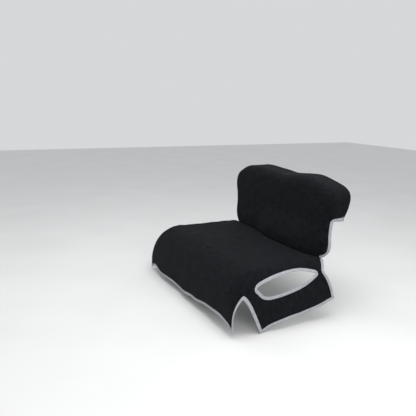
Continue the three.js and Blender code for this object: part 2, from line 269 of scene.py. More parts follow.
# %% Slot outlines
slot_rear, slot_front = 0.160, -0.206
slot_top = across_at_turn(0.523)
slot_bottom = across_at_drop(0.122)
slot_leaf = [(0, 0.2), (0.3, -0.08), (0.66, 0.06), (0.99, 0.39), (0.97, 0.63), (0.87, 0.96),
             (0.66, 0.98), (0.3, 0.71), (0, 0.2)]
near_slot = through([
    (slot_top + depth * (slot_bottom - slot_top), -slot_rear + length * (slot_rear - slot_front))
    for length, depth in slot_leaf
])[:-1]
slot_edges = {"left": softened(near_slot), "right": softened(mirrored(near_slot))}
print("a slot's edge is", round(len(near_slot) * edge_step, 3), "m round")

# %% [markdown]
# ## Fold lines
#
# The skirt and the flaps can be lifted. Each folds along a straight hinge of the CAD model, and
# on the flat pattern that hinge is a curve. The record's joints say where each hinge lies; the
# curve is found by asking, for each step, how far the cloth must run to come down to it.

# %% Hinge places and pattern curves
joints = {j["name"]: j for j in frame["joints"]}


def hinge(name):
    j = joints[name]
    return Vector(j["pos_m"]), Vector(j["axis"]).normalized()


skirt_hinge, skirt_axis = hinge("skirt_fold")
flap_hinge, flap_axis = hinge("left_flap_fold")
flap_slope = flap_axis.z / flap_axis.y


def found_where(height_of, low, high):
    """The run between two limits at which a falling height reaches zero, by halving."""
    for _ in range(40):
        middle = (low + high) / 2
        above = height_of(middle) > 0
        low, high = np.where(above, middle, low), np.where(above, high, middle)
    return middle


def skirt_curve():
    across = np.linspace(-notch_tip[0] - 0.002, notch_tip[0] + 0.002, 200)

    def drop(run):
        return on_seat(np.stack([across, run], axis=1))[:, 2] - skirt_hinge.z

    return np.stack([across, found_where(drop, 0.25 + 0 * across, 0.50 + 0 * across)], axis=1)


def flap_curve():
    along = np.linspace(-0.215, 0.2935, 110)

    def drop(run):
        place = on_seat(np.stack([run, along], axis=1))
        return place[:, 2] - flap_hinge.z - flap_slope * (place[:, 1] - flap_hinge.y)

    return np.stack([found_where(drop, 0.50 + 0 * along, 0.72 + 0 * along), along], axis=1)


fold_lines = [skirt_curve(), flap_curve(), mirrored(flap_curve())]
print("the skirt folds at", fold_lines[0][100].round(3), "on the pattern")

# %% [markdown]
# ## Cutting the cloth
#
# A triangulation is the cutting table: it is given the outline, the slots and the fold lines as
# edges that must be kept, and a lattice of places in between. Even triangles bend alike in all
# directions, which is what woven cloth with a looped pile does.

# %% Cutting a pattern into even triangles
weave_step = 0.009
edge_clearance = 0.6


def inside(ring, points):
    """Which points lie inside a closed line."""
    found = np.zeros(len(points), bool)
    for (x1, y1), (x2, y2) in zip(ring, np.roll(ring, -1, axis=0)):
        if y1 != y2:
            crosses = (y1 > points[:, 1]) != (y2 > points[:, 1])
            found ^= crosses & (points[:, 0] < (x2 - x1) * (points[:, 1] - y1) / (y2 - y1) + x1)
    return found


def search_tree(marks):
    """A tree that finds the nearest of some places on the pattern."""
    tree = kdtree.KDTree(len(marks))
    for i, (x, y) in enumerate(marks):
        tree.insert((x, y, 0), i)
    tree.balance()
    return tree


def nearness(points, lines):
    """How far each point is from the nearest place marked on some lines."""
    tree = search_tree(np.vstack(lines))
    return np.array([tree.find((x, y, 0))[2] for x, y in points])


def cut_cloth(ring, holes=(), folds=()):
    """(places, triangles) of a cloth cut to a closed line."""
    low, high = ring.min(axis=0), ring.max(axis=0)
    lattice = []
    for k, y in enumerate(np.arange(low[1], high[1], weave_step * math.sqrt(3) / 2)):
        x = np.arange(low[0] + (k % 2) * weave_step / 2, high[0], weave_step)
        lattice.append(np.stack([x, np.full(len(x), y)], axis=1))
    lattice = np.vstack(lattice)
    kept_in = inside(ring, lattice)
    for hole in holes:
        kept_in &= ~inside(hole, lattice)
    lattice = lattice[kept_in]
    fine = [evenly(closed(line), fine_step) for line in (ring, *holes)]
    fine += [evenly(line, fine_step) for line in folds]
    lattice = lattice[nearness(lattice, fine) > edge_clearance * weave_step]
    points, edges = [], []
    rings = [(line, 1) for line in (ring, *holes)]
    for line, is_ring in [*rings, *((fold, 0) for fold in folds)]:
        n, count = sum(map(len, points)), len(line)
        edges += [(n + i, n + (i + 1) % count) for i in range(count - 1 + is_ring)]
        points.append(line)
    points = np.vstack([*points, lattice])
    made = geometry.delaunay_2d_cdt([Vector(p) for p in points], edges, [], 0, 1e-6, False)
    places = np.array([tuple(p) for p in made[0]])
    triangles = np.array(made[2])
    middles = places[triangles].mean(axis=1)
    kept = inside(ring, middles)
    for hole in holes:
        kept &= ~inside(hole, middles)
    triangles = triangles[kept]
    used, triangles = np.unique(triangles, return_inverse=True)
    return places[used], triangles.reshape(-1, 3)


seat_flat, seat_triangles = cut_cloth(seat_edge, list(slot_edges.values()), fold_lines)
seat_triangles = seat_triangles[:, ::-1]  # along points to -Y, so the pattern is seen from below
print("seat cloth:", len(seat_flat), "points,", len(seat_triangles), "triangles")

# %% [markdown]
# ## The hood's pattern
#
# Seen from the front, the hood is the outline of the backrest: straight low sides, a wider head,
# and a top with two low humps. Its front cloth carries on round the edges as a band. So its
# pattern is a core, which stays flat, and a border as wide as the bend and the band together.

# %% Outline of the backrest
back_edge_radius = 0.040
hem_height = 0.205
margin_turn = 0.028
hood_depth = 0.088
rear_lean = 0.2657


def rear_at(height):
    """Where the hood's rear plane is at a height, as a Y in the row frame."""
    return back_front + hood_depth + rear_lean * (height - hem_height)


near_side = [(half_back, -0.20), (half_back, -0.05), (0.4835, 0.05)]
near_head = [(0.486, 0.123), (0.490, 0.205), (0.5035, 0.272), (0.497, 0.338), (0.452, 0.371),
             (0.370, 0.391), (0.247, 0.410), (0.150, 0.406), (0.065, 0.397), (0.0, 0.394)]
far_head = [(-0.100, 0.402), (-0.247, 0.411), (-0.340, 0.407), (-0.410, 0.393), (-0.462, 0.364),
            (-0.490, 0.320), (-0.500, 0.270), (-0.490, 0.205), (-0.486, 0.123)]
far_side = [(-0.4835, 0.05), (-half_back, -0.05), (-half_back, -0.20)]
core_step = 0.003
backrest_ring = through([*near_side, *near_head, *far_head, *far_side], core_step)


clear_share = 0.985


def outward(line):
    """The direction out of an anticlockwise line, at each of its points."""
    along = unit(np.gradient(line, axis=0))
    return np.stack([along[:, 1], -along[:, 0]], axis=1)


def lined_inside(line, distance):
    """The line moved inwards, without the places that would cross at a tight bend."""
    moved = line - distance * outward(line)
    gap = nearness(moved, [evenly(line, 0.001)])
    return evenly(moved[gap > clear_share * distance], core_step)


core_ring = lined_inside(backrest_ring, back_edge_radius)
for _ in range(3):
    core_ring[1:-1] = (core_ring[:-2] + 2 * core_ring[1:-1] + core_ring[2:]) / 4
core_out = outward(core_ring)
print("core of the hood:", np.ptp(core_ring, axis=0).round(3), "m")

# %% [markdown]
# The border is widest at the top, where the hood is deep, and narrow below the side hem, where
# only a margin turns round the backrest. The lower corners are cut round.

# %% Hood cloth outline
mid_radius = back_edge_radius + terry / 2
mid_front = back_front - terry / 2
bend = mid_radius * quarter
crease_height = -0.004
round_low = 0.045


def border_at(place, out):
    """How wide the band is beside a place on the core."""
    height = place[:, 1] + mid_radius * out[:, 1]
    depth = rear_at(height) + terry / 2 - mid_front - mid_radius
    return bend + depth


def hood_outline():
    """The hood's border: a wide band above the hems, a narrow margin below them."""
    wide = core_ring + border_at(core_ring, core_out)[:, None] * core_out
    margin = mid_radius * math.acos(1 - (margin_turn + terry / 2) / mid_radius)
    narrow = core_ring + margin * core_out
    height = core_ring[:, 1]
    high = height > hem_height
    side_x = core_ring[high][0, 0] + margin, core_ring[high][-1, 0] - margin
    band = wide[high]
    turn = np.linspace(0, quarter, 16)
    x_low = narrow[np.argmin(np.abs(height[:300] - 0.03)), 0]
    low_corner = np.stack(
        [x_low - round_low + round_low * np.sin(turn),
         crease_height + round_low - round_low * np.cos(turn)], axis=1)
    low = narrow[(height > crease_height + round_low) & (height < hem_height)]
    near_low, far_low = evenly(low[low[:, 0] > 0]), evenly(low[low[:, 0] < 0])
    near = [evenly(low_corner), near_low, evenly([(side_x[0], hem_height), band[0]])]
    far = [evenly([band[-1], (side_x[1], hem_height)]), far_low, evenly(mirrored(low_corner))]
    bottom = evenly([mirrored(low_corner)[-1], low_corner[0]])
    return softened(joined(bottom, *near, evenly(band), *far))


hood_edge = hood_outline()
hood_flat, hood_triangles = cut_cloth(hood_edge)
print("hood cloth:", len(hood_flat), "points,", np.ptp(hood_edge, axis=0).round(3), "m flat")

# %% [markdown]
# A place on the hood's pattern is carried over the backrest by its distance from the core: on
# the core it lies on the front face, then it goes round the bend, then straight back.


# %% From the hood's pattern to the backrest
def around_back(pattern, lift=terry / 2):
    """The places on the backrest of an array of hood pattern places."""
    in_core = inside(closed(core_ring), pattern)
    start, step = core_ring[:-1], np.diff(core_ring, axis=0)
    foot = np.empty_like(pattern)
    out = np.empty_like(pattern)
    for i in range(0, len(pattern), 2000):
        p = pattern[i:i + 2000]
        away = p[:, None] - start[None]
        share = np.clip((away * step).sum(axis=2) / (step**2).sum(axis=1), 0, 1)
        near = start[None] + share[..., None] * step[None]
        pick = np.argmin(((p[:, None] - near) ** 2).sum(axis=2), axis=1)
        rows = np.arange(len(p))
        foot[i:i + 2000] = near[rows, pick]
        s = share[rows, pick][:, None]
        out[i:i + 2000] = (1 - s) * core_out[pick] + s * core_out[pick + 1]
    gap = np.linalg.norm(pattern - foot, axis=1)
    out = unit(np.where((gap > 0.001)[:, None], pattern - foot, out))
    distance = np.where(in_core, 0, gap)
    angle = np.clip(distance / mid_radius, 0, quarter)
    back = np.maximum(distance - bend, 0)
    radius = back_edge_radius + lift
    front = np.where(in_core[:, None], pattern, foot)
    face = front + (radius * np.sin(angle))[:, None] * out * (~in_core)[:, None]
    y = back_front - lift + radius * (1 - np.cos(angle)) + back
    return np.stack([face[:, 0], y, face[:, 1]], axis=1)


print("top of the hood:", around_back(np.array([[0.247, 0.46]])).round(3))

# %% [markdown]
# ## Softness
#
# Formulas give a form as hard as a mould. Real terry sags, ripples and puffs, so the carried
# places are moved a little: ripples where the seat is sat on, waves in the parts that hang, a
# dip at the crease, and a full lower back. Each move is a smooth function of the place.


# %% Helpers for soft moves
def smooth_step(low, high, value):
    t = np.clip((value - low) / (high - low), 0, 1)
    return t * t * (3 - 2 * t)


def rough(places, *scales):
    """Even noise from -1 to 1 at each place, with its own scale for each axis."""
    return np.array([noise.noise(Vector(p)) for p in places * np.array(scales)])


def fold_at(places, start, end, width, height):
    """The height of a soft fold that runs from one place to another and fades at its ends."""
    a, b = np.array(start), np.array(end)
    share = ((places - a) @ (b - a)) / ((b - a) @ (b - a))
    off = np.linalg.norm(places - a - np.clip(share, 0, 1)[:, None] * (b - a), axis=1)
    ends = smooth_step(-0.15, 0.25, share) * (1 - smooth_step(0.75, 1.15, share))
    return height * ends * np.exp(-((off / width) ** 2))


def facing(places, triangles):
    """The direction that the cloth faces at each of its points."""
    a, b, c = (places[triangles[:, k]] for k in range(3))
    face = np.cross(b - a, c - a)
    total = np.zeros_like(places)
    for k in range(3):
        np.add.at(total, triangles[:, k], face)
    return unit(total)


def waves(at, rows):
    """A few waves added up. Each row is a height, a pace along the cloth and a start."""
    return sum(high * np.sin(at * pace + start) for high, pace, start in rows)


# %% [markdown]
# The seat cloth's ripples run across the seat, because people slide forwards on it. The skirt
# and the flaps wave more towards their hems, where nothing holds them.


# %% Seat cloth, laid and softened
dip_depth, dip_width = 0.010, 0.011
skirt_waves = [(0.0050, 17.5, 0.7), (0.0030, 33, 2.1)]
flap_waves = [(0.005, 27, 0.4), (0.0025, 52, 1.3)]


def soft_seat():
    """The seat cloth on its form, with its ripples, its crease and its waving hems."""
    places = on_seat(seat_flat)
    across, along = seat_flat[:, 0], seat_flat[:, 1]
    on_top = smooth_step(-0.05, -0.01, places[:, 2])
    flat3 = np.stack([across, along, 0 * across], axis=1)
    ripple = 0.0018 * rough(flat3, 9, 27, 1) + 0.0015 * rough(flat3 + 3.7, 19, 52, 1)
    swell = 0.0035 * rough(flat3 + 9.1, 3.1, 4.3, 1)
    lift = on_top * (ripple + swell) + (1 - on_top) * 0.0016 * rough(flat3 + 5.5, 9, 9, 1)
    places = places + facing(places, seat_triangles) * lift[:, None]
    dip = np.exp(-(((crease_at(across) + along) / dip_width) ** 2)) * (np.abs(across) < 0.49)
    places[:, 2] -= dip_depth * dip
    skirt = (along > 0.30) & (np.abs(across) < notch_tip[0] + 0.001)
    hang = np.where(skirt, smooth_step(-0.16, -0.33, places[:, 2]), 0)
    x = places[:, 0]
    places[:, 1] -= hang * (waves(x, skirt_waves) + 0.003)
    flap = (np.abs(across) > 0.60) & (along < notch_tip[1])
    hang = np.where(flap, smooth_step(-0.14, -0.33, places[:, 2]), 0)
    y = places[:, 1] + 0.07 * np.sign(x)
    places[:, 0] += np.sign(x) * hang * (waves(y, flap_waves) + 0.002)
    return places


seat_laid = soft_seat()
print("laid seat cloth:", seat_laid.min(axis=0).round(3), seat_laid.max(axis=0).round(3))

# %% [markdown]
# The hood is pulled over a full backrest. Its front is softly crowned, its lower part bulges
# forward and tucks back into the crease, and faint folds fan out from the corners that pull.


# %% Hood cloth, pulled on and softened
corner_folds = [
    ((0.470, 0.335), (0.300, 0.205), 0.015, 0.0016),
    ((0.478, 0.190), (0.330, 0.085), 0.017, 0.0020),
    ((0.470, 0.110), (0.300, 0.030), 0.016, 0.0022),
    ((0.300, 0.140), (0.130, 0.040), 0.020, 0.0020),
    ((0.090, 0.150), (-0.060, 0.045), 0.022, 0.0020),
    ((-0.130, 0.170), (-0.300, 0.060), 0.022, 0.0018),
    ((-0.250, 0.200), (-0.430, 0.090), 0.020, 0.0018),
    ((0.020, 0.395), (0.180, 0.350), 0.018, 0.0016),
    ((-0.060, 0.396), (-0.230, 0.335), 0.018, 0.0014),
]


def soft_hood():
    """The hood on its form: crowned, folded at its corners, full below, tucked in the crease."""
    places = around_back(hood_flat)
    x, z = hood_flat[:, 0], hood_flat[:, 1]
    flat3 = np.stack([x, z, 0 * x], axis=1)
    puff = 0.004 * np.clip(1 - (x / 0.5) ** 2, 0, 1) * np.sin(np.clip(z / 0.40, 0, 1) * math.pi)
    ripple = 0.0030 * rough(flat3 + 2.3, 4.2, 5.0, 1) + 0.0012 * rough(flat3 + 8.8, 15, 19, 1)
    folds = sum(fold_at(hood_flat, *fold) for fold in corner_folds)
    to_seam = nearness(hood_flat, [hood_edge])
    free = smooth_step(0.0, 0.03, to_seam)
    places = places + facing(places, hood_triangles) * (free * (puff + ripple + folds))[:, None]
    height = places[:, 2]
    forward = bulge_at(x) * (1 - smooth_step(0.045, 0.215, height))
    places[:, 1] -= forward
    side = np.sign(x) * smooth_step(0.40, 0.48, np.abs(x))
    places[:, 0] += 0.011 * side * np.exp(-(((height - 0.075) / 0.045) ** 2))
    places[:, 0] -= 0.016 * side * (1 - smooth_step(0, 0.05, height))
    upper = smooth_step(0.30, 0.39, height)
    drop = 0.010 * smooth_step(0.34, 0.46, -x) + 0.005 * smooth_step(0.02, 0.20, -x)
    places[:, 2] -= drop * upper
    tuck = crease_tuck * np.exp(-np.clip(height - crease_height, 0, 1) / 0.010)
    places[:, 1] += tuck * (np.abs(x) < half_back + 0.01)
    return places


hood_laid = soft_hood()
print("laid hood cloth:", hood_laid.min(axis=0).round(3), hood_laid.max(axis=0).round(3))

# %% [markdown]
# ## Letting the cloth settle
#
# A short cloth simulation takes the stiffness out of the formulas. The laid cloth is cut a
# little too large, as real cloth is, and it settles under its own weight. Weak pins stand in for
# the form under the cloth, which is far quicker than a collision, and strong pins hold it at the
# crease and at the hood's edge. Each move is smoothed and capped, so that the cover keeps its
# outline. The result is read back into plain places, and no simulation is left in the scene.


# %% Simulation
def mesh_from(name, places, faces):
    mesh = bpy.data.meshes.new(name)
    mesh.from_pydata(np.asarray(places).tolist(), [], [list(map(int, f)) for f in faces])
    piece = bpy.data.objects.new(name, mesh)
    bpy.context.scene.collection.objects.link(piece)
    return piece


def settled(cloth, frames=12):
    """The places of a laid cloth after it has settled. A cloth is a dict."""
    places = cloth["places"]
    piece = mesh_from("settling", places, cloth["triangles"])
    group = piece.vertex_groups.new(name="held")
    for level in np.unique(cloth["held"].round(2)):
        group.add(np.flatnonzero(cloth["held"].round(2) == level).tolist(), float(level), "REPLACE")
    modifier = piece.modifiers.new("Cloth", "CLOTH")
    s = modifier.settings
    s.quality, s.mass, s.air_damping = 3, 0.4, 4.0
    s.tension_stiffness = s.compression_stiffness = 18
    s.shear_stiffness, s.bending_stiffness = 8, 1.5
    s.tension_damping = s.compression_damping = s.shear_damping = 12
    s.vertex_group_mass, s.pin_stiffness = "held", 1.0
    s.shrink_min = -cloth["slack"]
    modifier.collision_settings.use_collision = False
    modifier.collision_settings.use_self_collision = False
    modifier.point_cache.frame_end = frames
    scene = bpy.context.scene
    scene.frame_start, scene.frame_end = 1, frames
    for step in range(1, frames + 1):
        scene.frame_set(step)
    shown = piece.evaluated_get(bpy.context.evaluated_depsgraph_get())
    moved = np.empty(3 * len(places), np.float32)
    shown.data.vertices.foreach_get("co", moved)
    move = moved.reshape(-1, 3) - places
    sides = cloth["triangles"][:, [[0, 1], [1, 2], [2, 0]]].reshape(-1, 2)
    sides = np.vstack([sides, sides[:, ::-1]])
    near = np.bincount(sides[:, 0], minlength=len(places))[:, None]
    for _ in range(10):
        around = np.zeros_like(move)
        np.add.at(around, sides[:, 0], move[sides[:, 1]])
        move = 0.4 * move + 0.6 * around / near
    far = np.linalg.norm(move, axis=1)[:, None]
    print(f"{cloth['name']}: settled {far.mean() * 1000:.1f} mm, at most {far.max() * 1000:.1f}")
    cap = cloth["cap"][:, None]
    mesh = piece.data
    bpy.data.objects.remove(piece)
    bpy.data.meshes.remove(mesh)
    scene.frame_set(1)
    return places + move * np.tanh(far / cap) * cap / np.maximum(far, 1e-9)


to_crease = np.abs(-seat_flat[:, 1] - crease_at(seat_flat[:, 0]))
hanging = smooth_step(-0.10, -0.26, seat_laid[:, 2])
seat_held = np.maximum(0.55 - 0.35 * hanging, 1 - smooth_step(0.004, 0.03, to_crease))
to_border = nearness(hood_flat, [hood_edge])
hood_held = np.maximum(0.45, 1 - smooth_step(0.002, 0.035, to_border))
cloths = [
    {"name": "seat cloth", "places": seat_laid, "triangles": seat_triangles,
     "held": seat_held, "slack": 0.008, "cap": 0.003 + 0.002 * hanging},
    {"name": "hood cloth", "places": hood_laid, "triangles": hood_triangles,
     "held": hood_held, "slack": 0.010, "cap": np.full(len(hood_flat), 0.004)},
]
seat_places, hood_places = (settled(cloth) for cloth in cloths)

# %% [markdown]
# ## Which part of the cloth belongs to which body
#
# The seat cloth is parted along its fold lines, exactly where the hinges are. A place below the
# skirt's hinge and in front of the notch is skirt; one below a flap's hinge and behind the notch
# is flap; the rest is seat.

# %% Zones of the seat cloth
flap_from = 0.50


def zones(flat):
    """0 for seat, 1 for skirt, 2 for the left flap and 3 for the right flap."""
    p = on_seat(flat)
    in_front = p[:, 1] < flap_hinge.y
    below_skirt = p[:, 2] < skirt_hinge.z
    below_flap = p[:, 2] < flap_hinge.z + flap_slope * (p[:, 1] - flap_hinge.y)
    outer = np.abs(flat[:, 0]) > flap_from
    zone = np.where(in_front & below_skirt, 1, 0)
    return np.where(~in_front & below_flap & outer, np.where(flat[:, 0] > 0, 2, 3), zone)


seat_zone = zones(seat_flat[seat_triangles].mean(axis=1))
print("triangles in seat, skirt and flaps:", np.bincount(seat_zone))

# %% [markdown]
# ## Giving the cloth its thickness
#
# Terry is thick because of its loops, and thin where the tape presses it. Each piece is closed:
# an outer face, an inner face, and a wall round its edge. The directions of the whole cloth are
# kept as custom normals, so that no line shows where two pieces meet on a fold line.

# %% From a sheet to a closed cloth
pressed_half, full_half, seam_half = 0.0017, 0.0027, 0.0012


def sheet_of(flat, places, triangles, taped, pinched=()):
    """Everything that is known of one cloth. Tape and seams press it thin."""
    to_tape = nearness(flat, taped)
    half = pressed_half + (full_half - pressed_half) * smooth_step(
        tape_width - 0.002, tape_width + 0.009, to_tape)
    if len(pinched):
        to_seam = nearness(flat, pinched)
        rise = (full_half - seam_half) * smooth_step(0, 0.008, to_seam)
        half = np.minimum(half, seam_half + rise)
    return {"flat": flat, "places": places, "triangles": triangles, "half": half,
            "normals": facing(places, triangles),
            "finder": BVHTree.FromPolygons([(x, y, 0) for x, y in flat], triangles.tolist())}


def corner_points(mesh):
    """The number of the point at each corner of a mesh's faces."""
    corners = np.empty(len(mesh.loops), int)
    mesh.loops.foreach_get("vertex_index", corners)
    return corners


def terry_piece(name, sheet, chosen):
    """One closed piece of cloth, made of the chosen triangles of a sheet."""
    used, faces = np.unique(sheet["triangles"][chosen], return_inverse=True)
    faces = faces.reshape(-1, 3)
    count = len(used)
    places, normals = sheet["places"][used], sheet["normals"][used]
    thick = (normals.T * sheet["half"][used]).T
    sides = np.vstack([faces[:, [0, 1]], faces[:, [1, 2]], faces[:, [2, 0]]])
    both = {(a, b) for a, b in sides.tolist()}
    rim = [(b, a, a + count, b + count) for a, b in sides.tolist() if (b, a) not in both]
    piece = mesh_from(name, np.vstack([places + thick, places - thick]),
                      [*faces.tolist(), *(faces[:, ::-1] + count).tolist(), *rim])
    mesh = piece.data
    loops = corner_points(mesh)
    flat = sheet["flat"][used]
    pattern = mesh.uv_layers.new(name="pattern")
    pattern.data.foreach_set("uv", flat[loops % count].astype(np.float32).ravel())
    for polygon in mesh.polygons:
        polygon.use_smooth = True
    turned = np.where((loops < count)[:, None], normals[loops % count], -normals[loops % count])
    first = 3 * 2 * len(faces)
    walls = np.array([p.normal for p in mesh.polygons[2 * len(faces):]]).reshape(-1, 3)
    turned[first:] = np.repeat(walls, 4, axis=0)
    mesh.normals_split_custom_set(turned.tolist())
    corners = flat[faces]
    a, b = corners[:, 1] - corners[:, 0], corners[:, 2] - corners[:, 0]
    area = np.abs(a[:, 0] * b[:, 1] - a[:, 1] * b[:, 0]).sum() / 2
    wide, long = (float(x) for x in np.ptp(flat, axis=0))
    print(f"{name}: {len(mesh.polygons)} faces, cut {wide:.3f} by {long:.3f} m, {area:.3f} m2")
    return piece, (wide, long), float(area)


def in_crease(flat):
    """Which places of the seat cloth's edge lie in the crease, where no tape is sewn."""
    return (np.abs(flat[:, 0]) < half_back + 0.004) & (flat[:, 1] < -0.15)


seat_taped = [seat_edge[~in_crease(seat_edge)], *slot_edges.values()]
seat_sheet = sheet_of(seat_flat, seat_places, seat_triangles, seat_taped)

# %% [markdown]
# The hood's border has three kinds of edge: the seam to the rear panel, the taped side hems and
# margins, and the bottom edge that hides in the crease.

# %% The hood's sheet and its edges
seam_above, seam_beyond, bottom_below = hem_height + 0.001, bend + 0.02, crease_height + 0.0008


def at_seam(flat):
    """Which places of the hood's edge are sewn to the rear panel."""
    to_core = nearness(flat, [evenly(core_ring, fine_step)])
    return (flat[:, 1] > seam_above) & (to_core > seam_beyond)


def at_bottom(flat):
    """Which places of the hood's edge are tucked into the crease."""
    return flat[:, 1] < bottom_below


hood_is_seam = at_seam(hood_edge)
hood_is_taped = ~hood_is_seam & ~at_bottom(hood_edge)
hood_sheet = sheet_of(hood_flat, hood_places, hood_triangles, [hood_edge[hood_is_taped]],
                      [hood_edge[hood_is_seam]])


def carried(sheet, flat):
    """The places on a laid sheet of places on its pattern, and the directions it faces there."""
    finder, triangles = sheet["finder"], sheet["triangles"]
    found, facings = np.empty((len(flat), 3)), np.empty((len(flat), 3))
    for i, (x, y) in enumerate(flat):
        spot, _, k, _ = finder.find_nearest(Vector((x, y, 0)))
        a, b, c = sheet["flat"][triangles[k]]
        m = np.array([[a[0], b[0], c[0]], [a[1], b[1], c[1]], [1, 1, 1]])
        weights = np.linalg.solve(m, [spot.x, spot.y, 1])
        found[i] = weights @ sheet["places"][triangles[k]]
        facings[i] = weights @ sheet["normals"][triangles[k]]
    return found, unit(facings)


seam_line, seam_facing = carried(hood_sheet, hood_edge[hood_is_seam])
print("hood seam runs", run_along(seam_line)[-1].round(3), "m, from", seam_line[0].round(3),
      "to", seam_line[-1].round(3))

# %% [markdown]
# ## The hood's rear panel
#
# The rear panel closes the bag behind the backrest. It is drawn flat on its own leaning plane,
# with the seam as its outline, and it sags outwards a little, because nothing holds its middle.

# %% Rear panel
lean_stretch = math.hypot(1, rear_lean)
rear_ring = np.stack([seam_line[:, 0], (seam_line[:, 2] - hem_height) * lean_stretch], axis=1)
rear_hem = evenly([rear_ring[-1] * [1, 0], rear_ring[0] * [1, 0]])
rear_edge = joined(rear_ring, rear_hem)


def at_rear_hem(flat):
    """Which places of the rear panel's edge are its lower hem. The rest is the seam."""
    return flat[:, 1] < 0.0001


rear_seam = rear_edge[~at_rear_hem(rear_edge)]


def soft_rear(flat):
    """The rear panel on its leaning plane, sagging outwards away from the seam."""
    x, height = flat[:, 0], hem_height + flat[:, 1] / lean_stretch
    to_seam = nearness(flat, [rear_seam])
    sag = 0.007 * smooth_step(0, 0.09, to_seam)
    flat3 = np.stack([x, flat[:, 1], 0 * x], axis=1)
    sag = sag * (1 + 0.6 * rough(flat3 + 1.9, 5, 9, 1)) + 0.001 * rough(flat3, 16, 22, 1)
    sag *= smooth_step(0, 0.02, to_seam)
    return np.stack([x, rear_at(height) + terry / 2 + sag, height], axis=1)


rear_flat, rear_triangles = cut_cloth(rear_edge)
rear_triangles = rear_triangles[:, ::-1]
rear_sheet = sheet_of(rear_flat, soft_rear(rear_flat), rear_triangles,
                      [rear_edge[at_rear_hem(rear_edge)]], [rear_seam])

# %% The terry pieces
whole = slice(None)
terry_pieces = {
    "seat_terry": terry_piece("seat_terry", seat_sheet, seat_zone == 0),
    "skirt_terry": terry_piece("skirt_terry", seat_sheet, seat_zone == 1),
    "left_flap_terry": terry_piece("left_flap_terry", seat_sheet, seat_zone == 2),
    "right_flap_terry": terry_piece("right_flap_terry", seat_sheet, seat_zone == 3),
    "hood_terry": terry_piece("hood_terry", hood_sheet, whole),
    "hood_rear_terry": terry_piece("hood_rear_terry", rear_sheet, whole),
}

# %% [markdown]
# ## The binding tape
#
# A bias tape is folded over each free edge and stitched through. It is made along the pattern's
# edge: for each step along the edge, a place as far in as the tape is wide, and the tape's
# section between the two, carried onto the laid cloth. At an outer corner many steps share one
# inner place, so the tape turns as if it were mitred.

# %% The tape's section, as (distance in from the edge, height from the cloth's middle)
stitch_in = tape_width - 0.0026
section_top = [
    (tape_width, pressed_half), (tape_width, 0.0024), (tape_width - 0.0005, 0.0029),
    (tape_width - 0.0016, 0.0030), (stitch_in, 0.0024), (stitch_in - 0.0010, 0.0030),
    (0.0085, 0.0032), (0.0045, 0.0032), (0.0018, 0.0031), (0.0, 0.0027), (-0.0011, 0.0017),
]
section = [*section_top, (-0.0015, 0.0), *[(d, -h) for d, h in section_top[::-1]],
           (0.0002, -pressed_half), (0.0002, pressed_half)]
stitch_height = 0.0025


def inner_line(ring, side):
    """For each point of a closed line, the place where the tape's inner edge lies."""
    along = unit(np.roll(ring, -1, axis=0) - np.roll(ring, 1, axis=0))
    left = np.stack([-along[:, 1], along[:, 0]], axis=1) * side
    moved = ring + tape_width * left
    gap = nearness(moved, [evenly(closed(ring), 0.001)])
    moved = moved[gap > clear_share * tape_width]
    fine = evenly(closed(moved), 0.0005)
    tree = search_tree(fine)
    return fine[[tree.find((x, y, 0))[1] for x, y in ring]]


def tube_faces(steps, around):
    """The faces between a row of equal rings of points."""
    return [(i * around + k, i * around + (k + 1) % around,
             (i + 1) * around + (k + 1) % around, (i + 1) * around + k)
            for i in range(steps - 1) for k in range(around)]


def add_tape(name, sheet, edge, inner):
    """A tape round part of an edge, and the two rows of stitches that hold it."""
    columns = {}
    for d in sorted({max(d, 0.0) for d, _ in section}, reverse=True):
        columns[d] = carried(sheet, edge + (inner - edge) * d / tape_width)
    edge_places = columns[0.0][0]
    out = unit(edge_places - columns[0.0018][0])
    rows = []
    for d, h in section:
        places, normals = columns[max(d, 0.0)]
        rows.append(places + h * normals + max(-d, 0) * out)
    rows = np.array(rows)
    steps, around = len(edge), len(section)
    points = rows.transpose(1, 0, 2).reshape(-1, 3)
    faces = tube_faces(steps, around)
    faces += [tuple(range(around))[::-1], tuple((steps - 1) * around + k for k in range(around))]
    tape = mesh_from(name + "_tape", points, faces)
    run = run_along(edge_places)
    across = np.r_[0, np.cumsum([math.dist(a, b) for a, b in zip(section, section[1:])])]
    mesh = tape.data
    weave = mesh.uv_layers.new(name="weave")
    for polygon in mesh.polygons:
        polygon.use_smooth = polygon.loop_total == 4
        wraps = polygon.loop_total == 4 and polygon.index % around == around - 1
        for loop in polygon.loop_indices:
            i, k = divmod(mesh.loops[loop].vertex_index, around)
            far = across[-1] + 0.002 if wraps and k == 0 else across[k]
            weave.data[loop].uv = (run[i], far)
    stitches = []
    for side in (1, -1):
        places, normals = columns[stitch_in]
        stitches.append(stitch_row(places + side * stitch_height * normals, side * normals))
    thread = joined_meshes(name + "_stitches", stitches)
    return tape, thread


# %% [markdown]
# ## Stitches
#
# One stitch is a short, slim, slightly bowed bead of thread. It is modelled once, as three
# five-sided rings between two tips, and placed all along the tape, in the groove that it pulls.

# %% One stitch, and rows of it
stitch_pitch, stitch_length, thread_radius = 0.0048, 0.0036, 0.00042
bead_rings = [(-0.42, 0.7, 0.1), (0.0, 1.0, 0.55), (0.42, 0.7, 0.1)]
bead_sides = 5


